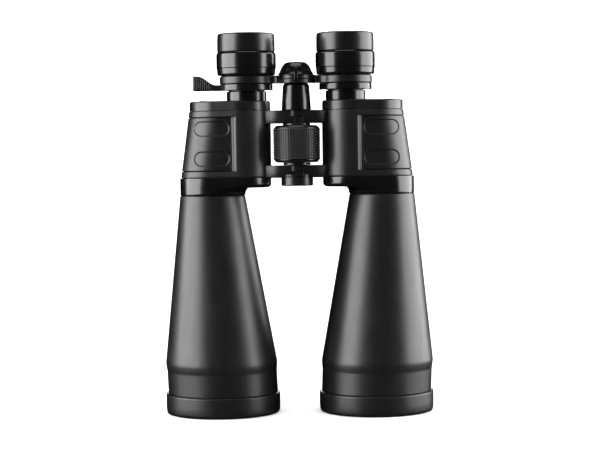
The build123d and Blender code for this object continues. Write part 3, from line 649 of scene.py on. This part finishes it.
def bridge_arm(side, sign, node):
    """Arm of the centre bridge: hinge lug and a bar that draws back to the housing's bulge."""
    low, high = box_mm(node)
    base, top = low[2], high[2]
    level = lug_level(side, base, top)
    bore, wide = AXLE_BORE_R, BRIDGE_LUG_R
    lathe(node + "_lug", [(bore, level[0]), (wide, level[0], 0.2), (wide, level[1], 0.5),
                          (bore, level[1])], node, 0, HINGE_Y, 112)
    front, back = -BRIDGE_HALF_DEPTH, BRIDGE_HALF_DEPTH
    edge = ((0.0, 0.6), (0.18, 0.18), (0.6, 0.0))

    def web(name, outline, floor, roof):
        """Upright block on an outline of (x, y) from the hinge, with rounded edges."""
        plan = np.array(outline)
        along = np.roll(plan, -1, axis=0) - np.roll(plan, 1, axis=0)
        away = np.stack([along[:, 1], -along[:, 0]], axis=1)
        away /= np.linalg.norm(away, axis=1)[:, None]
        levels = [(floor + rise, pull) for rise, pull in edge]
        levels += [(roof - rise, pull) for rise, pull in edge[::-1]]
        rings = []
        for height, pull in levels:
            at = plan - away * pull
            rings.append([(sign * x, HINGE_Y + y, height) for x, y in at])
        skin(name, rings, node, False, 40.0)

    # The bar is hollowed round the other half's lug, which lies at the bar's other level.
    relief = wide + 0.35
    turns = np.linspace(math.atan2(back - 1.9, 5.6), math.atan2(front + 0.7, 4.0), 12)
    hollow = [(relief * math.cos(a), relief * math.sin(a)) for a in turns]
    outside = [(12.0, front + 0.3), (15.5, front + 1.2), (18.5, front + 2.6), (21.0, front + 4.0),
               (22.8, front + 4.8), (22.8, back), (12.0, back)]
    web(node + "_bar", [(4.4, front + 0.1)] + outside + [(6.4, back - 0.2)] + hollow, base, top)
    for name, near, far in (("_front_web", front + 0.02, -5.7), ("_back_web", 5.7, back - 0.02)):
        web(node + name, [(0.05, near), (5.0, near), (9.2, near), (9.2, far), (0.05, far)],
            level[0] + 0.03, level[1] - 0.03)


def hub_rib():
    """Soft-edged rib down the front of the dome, in front of the ocular arms' lugs."""
    front = HINGE_Y - box_mm("ocular_hub")[0][1]
    arm_low, arm_high = box_mm("left_ocular_arm")
    base, deck = arm_low[2], arm_high[2] + 0.15
    outline = [(-8.0, deck), (0.05 - front + 1.2, deck), (1.2 - front, base + 1.3),
               (0.5 - front, base + 1.3, 0.4), (-front, base + 2.1, 0.4), (-front, deck, 0.8),
               (0.6 - front, deck + 2.2, 0.8), (-11.0, deck + 5.8, 0.8), (-8.0, deck + 5.8)]
    outline = np.array(soften(outline))
    centre = outline.mean(axis=0)
    rings = []
    for x, pinch in ((-1.2, 0.3), (-1.1, 0.12), (-0.9, 0.0), (0.9, 0.0), (1.1, 0.12), (1.2, 0.3)):
        away = outline - centre
        pulled = outline - away / np.linalg.norm(away, axis=1)[:, None] * pinch
        rings.append([(x, HINGE_Y + y, z) for y, z in pulled])
    skin("hub_front_rib", rings, "ocular_hub", False, 40.0)


# ------------------------------------------------------------------ materials
def surface(name, colour, rough, grain, grain_size, metal=0.0, wear=0.35, streak=0.0,
            edge_round=0.25):
    """Moulded or painted surface: fine grain, uneven gloss and edges rubbed a little paler.

    grain_size is the spacing of the grain in millimetres, and edge_round the radius that
    edges shade to.
    """
    material = bpy.data.materials.new(name)
    material.use_nodes = True
    tree = material.node_tree
    nodes, links = tree.nodes, tree.links
    shader = nodes["Principled BSDF"]
    shader.inputs["Metallic"].default_value = metal
    place = nodes.new("ShaderNodeTexCoord").outputs["Object"]

    def noise(scale, detail=3.0, stretch=None):
        source = place
        if stretch:
            mapping = nodes.new("ShaderNodeMapping")
            mapping.inputs["Scale"].default_value = stretch
            links.new(place, mapping.inputs["Vector"])
            source = mapping.outputs["Vector"]
        node = nodes.new("ShaderNodeTexNoise")
        node.inputs["Scale"].default_value = scale
        node.inputs["Detail"].default_value = detail
        links.new(source, node.inputs["Vector"])
        return node.outputs["Fac"]

    def remap(value, low, high, start=0.0, stop=1.0):
        node = nodes.new("ShaderNodeMapRange")
        node.inputs["From Min"].default_value = low
        node.inputs["From Max"].default_value = high
        node.inputs["To Min"].default_value = start
        node.inputs["To Max"].default_value = stop
        links.new(value, node.inputs["Value"])
        return node.outputs["Result"]

    def math_node(kind, a, b):
        node = nodes.new("ShaderNodeMath")
        node.operation = kind
        for socket, value in zip(node.inputs, (a, b)):
            if isinstance(value, float):
                socket.default_value = value
            else:
                links.new(value, socket)
        return node.outputs["Value"]

    fine = noise(1000 / grain_size, 2.0)
    blotch = noise(45.0, 4.0)
    smudge = noise(160.0, 5.0, (1.0, 1.0, 0.35))
    bevel = nodes.new("ShaderNodeBevel")
    bevel.samples = 4
    bevel.inputs["Radius"].default_value = edge_round * MM
    flat = nodes.new("ShaderNodeNewGeometry").outputs["Normal"]
    dot = nodes.new("ShaderNodeVectorMath")
    dot.operation = "DOT_PRODUCT"
    links.new(bevel.outputs["Normal"], dot.inputs[0])
    links.new(flat, dot.inputs[1])
    edge = remap(dot.outputs["Value"], 0.995, 0.86)
    rubbed = math_node("MULTIPLY", edge, remap(smudge, 0.35, 0.65))
    rubbed = math_node("MULTIPLY", rubbed, wear)

    mix = nodes.new("ShaderNodeMix")
    mix.data_type = "RGBA"
    mix.inputs["A"].default_value = (*[c * 0.82 for c in colour], 1)
    mix.inputs["B"].default_value = (*[c * 1.2 for c in colour], 1)
    links.new(remap(blotch, 0.3, 0.7), mix.inputs["Factor"])
    worn = nodes.new("ShaderNodeMix")
    worn.data_type = "RGBA"
    worn.inputs["B"].default_value = (*[min(1.0, c * 3.2 + 0.012) for c in colour], 1)
    links.new(rubbed, worn.inputs["Factor"])
    links.new(mix.outputs["Result"], worn.inputs["A"])
    links.new(worn.outputs["Result"], shader.inputs["Base Color"])

    uneven = remap(smudge, 0.25, 0.75, rough - 0.035, rough + 0.045)
    uneven = math_node("ADD", uneven, math_node("MULTIPLY", rubbed, 0.12))
    links.new(uneven, shader.inputs["Roughness"])

    height = fine
    if streak > 0:
        brushed = noise(900.0, 3.0, (1.0, 1.0, 0.04))
        height = math_node("ADD", height, math_node("MULTIPLY", brushed, streak))
    bump = nodes.new("ShaderNodeBump")
    bump.inputs["Strength"].default_value = grain
    bump.inputs["Distance"].default_value = 0.0001
    links.new(height, bump.inputs["Height"])
    links.new(bevel.outputs["Normal"], bump.inputs["Normal"])
    links.new(bump.outputs["Normal"], shader.inputs["Normal"])
    return material


def glass(name, tint, film=0.0):
    """Polished glass, with a thin anti-reflection film where film gives its thickness in nm."""
    material = bpy.data.materials.new(name)
    material.use_nodes = True
    nodes, links = material.node_tree.nodes, material.node_tree.links
    shader = nodes["Principled BSDF"]
    shader.inputs["Base Color"].default_value = (*tint, 1)
    shader.inputs["Transmission Weight"].default_value = 1.0
    shader.inputs["IOR"].default_value = 1.52
    shader.inputs["Thin Film Thickness"].default_value = film
    shader.inputs["Thin Film IOR"].default_value = 1.38
    place = nodes.new("ShaderNodeTexCoord").outputs["Object"]
    dust = nodes.new("ShaderNodeTexNoise")
    dust.inputs["Scale"].default_value = 220.0
    dust.inputs["Detail"].default_value = 6.0
    links.new(place, dust.inputs["Vector"])
    haze = nodes.new("ShaderNodeMapRange")
    haze.inputs["From Min"].default_value = 0.45
    haze.inputs["From Max"].default_value = 0.8
    haze.inputs["To Min"].default_value = 0.015
    haze.inputs["To Max"].default_value = 0.09
    links.new(dust.outputs["Fac"], haze.inputs["Value"])
    links.new(haze.outputs["Result"], shader.inputs["Roughness"])
    return material


MATERIALS = {
    "armor": surface("armor", (0.0048, 0.0048, 0.0051), 0.37, 0.22, 0.45, wear=0.4),
    "grip_rubber": surface("grip_rubber", (0.0036, 0.0036, 0.0038), 0.38, 0.35, 0.6, wear=0.35),
    "cover_black": surface("cover_black", (0.0042, 0.0042, 0.0045), 0.3, 0.15, 0.4, wear=0.45),
    "gloss_black": surface("gloss_black", (0.0022, 0.0022, 0.0024), 0.2, 0.05, 0.8, wear=0.3),
    "arm_black": surface("arm_black", (0.003, 0.003, 0.0032), 0.34, 0.25, 0.35, wear=0.4),
    "eyecup_rubber": surface("eyecup_rubber", (0.003, 0.003, 0.0032), 0.3, 0.12, 0.7, wear=0.2),
    "knob_rubber": surface("knob_rubber", (0.0016, 0.0016, 0.0017), 0.24, 0.1, 0.4, wear=0.04,
                           edge_round=0.12),
    "lever_black": surface("lever_black", (0.004, 0.004, 0.0042), 0.36, 0.25, 0.4, wear=0.45),
    "dark_metal": surface("dark_metal", (0.02, 0.02, 0.022), 0.38, 0.15, 0.5, metal=0.4,
                          streak=0.6),
    "steel": surface("steel", (0.2, 0.2, 0.205), 0.34, 0.15, 0.4, metal=1.0, wear=0.15,
                     streak=1.0),
    "coated_glass": glass("coated_glass", (0.93, 0.9, 0.97), 430.0),
    "prism_glass": glass("prism_glass", (0.95, 0.98, 0.96)),
}

# ------------------------------------------------------------------ build
for side, sign in SIDES:
    objective_rim(side, sign)
    barrel(side, sign)
    neck_collar(side, sign)
    prism_housing(side, sign)
    grip_panel(side, sign)
    ocular(side, sign)
    ocular_arm(side, sign)
    bridge_arm(side, sign, side + "_upper_arm")
    bridge_arm(side, sign, side + "_lower_arm")
zoom_lever()
studded_grip()
centre_line()
hub_rib()

for node, obj in frame["nodes"].items():
    for slot in obj.material_slots:
        slot.material = MATERIALS[SLOT_OF[node]]


# ------------------------------------------------------------------ stage, light and camera
FLOOR_SIZE = 60.0
LIGHT_TARGET_Z = 0.13
LENS_MM = 104.2
CAMERA_AT = (0.00161, -1.24715, 0.18396)
PITCH, ROLL, YAW = 0.0401, 0.0135, 0.0048


def plane(name, size):
    mesh = bpy.data.meshes.new(name)
    half = size / 2
    corners = [(-half, -half, 0), (half, -half, 0), (half, half, 0), (-half, half, 0)]
    mesh.from_pydata(corners, [], [(0, 1, 2, 3)])
    obj = bpy.data.objects.new(name, mesh)
    bpy.context.scene.collection.objects.link(obj)
    return obj


floor = plane("floor", FLOOR_SIZE)
floor_paint = bpy.data.materials.new("floor_paint")
floor_paint.use_nodes = True
floor_shader = floor_paint.node_tree.nodes["Principled BSDF"]
floor_shader.inputs["Base Color"].default_value = (0.97, 0.97, 0.97, 1)
floor_shader.inputs["Roughness"].default_value = 1.0
floor_shader.inputs["Specular IOR Level"].default_value = 0.0
floor.data.materials.append(floor_paint)
floor.visible_glossy = False
floor.visible_shadow = False


def softbox(name, azimuth, elevation, distance, width, height, radiance):
    """Area light that faces the object; azimuth is from the -Y axis towards +X, in degrees."""
    light = bpy.data.lights.new(name, "AREA")
    light.shape = "RECTANGLE"
    light.size = width
    light.size_y = height
    light.energy = radiance * math.pi * width * height
    obj = bpy.data.objects.new(name, light)
    bpy.context.scene.collection.objects.link(obj)
    turn, lift = math.radians(azimuth), math.radians(elevation)
    target = np.array([0.0, 0.0, LIGHT_TARGET_Z])
    away = np.array([math.sin(turn) * math.cos(lift), -math.cos(turn) * math.cos(lift),
                     math.sin(lift)])
    obj.location = target + away * distance
    obj.rotation_euler = Euler((math.pi / 2 - lift, 0, turn), "XYZ")
    obj.visible_camera = False
    obj.visible_diffuse = False


softbox("left_softbox", -74, 12, 1.5, 1.73, 1.2, 8.6)
softbox("right_softbox", 96, 12, 1.5, 1.95, 1.2, 7.4)
softbox("top_softbox", 0, 86, 1.5, 1.2, 0.8, 2.5)
softbox("back_softbox", 180, 12, 1.6, 0.5, 1.2, 4.0)

world = bpy.data.worlds.new("studio")
bpy.context.scene.world = world
world.use_nodes = True
background = world.node_tree.nodes["Background"]
background.inputs["Color"].default_value = (1, 1, 1, 1)
background.inputs["Strength"].default_value = 2.0
world.cycles_visibility.glossy = False

camera_data = bpy.data.cameras.new("camera")
camera_data.sensor_width = 36.0
camera_data.lens = LENS_MM
camera = bpy.data.objects.new("camera", camera_data)
bpy.context.scene.collection.objects.link(camera)
stand = Matrix.Translation(CAMERA_AT)
tilt = Euler((math.pi / 2 - PITCH, 0, 0)).to_matrix().to_4x4()
camera.matrix_world = (Matrix.Rotation(-YAW, 4, "Z") @ stand @ tilt
                       @ Matrix.Rotation(-ROLL, 4, "Z"))
bpy.context.scene.camera = camera
bpy.context.scene.view_settings.view_transform = "Standard"
bpy.context.scene.view_settings.look = "None"
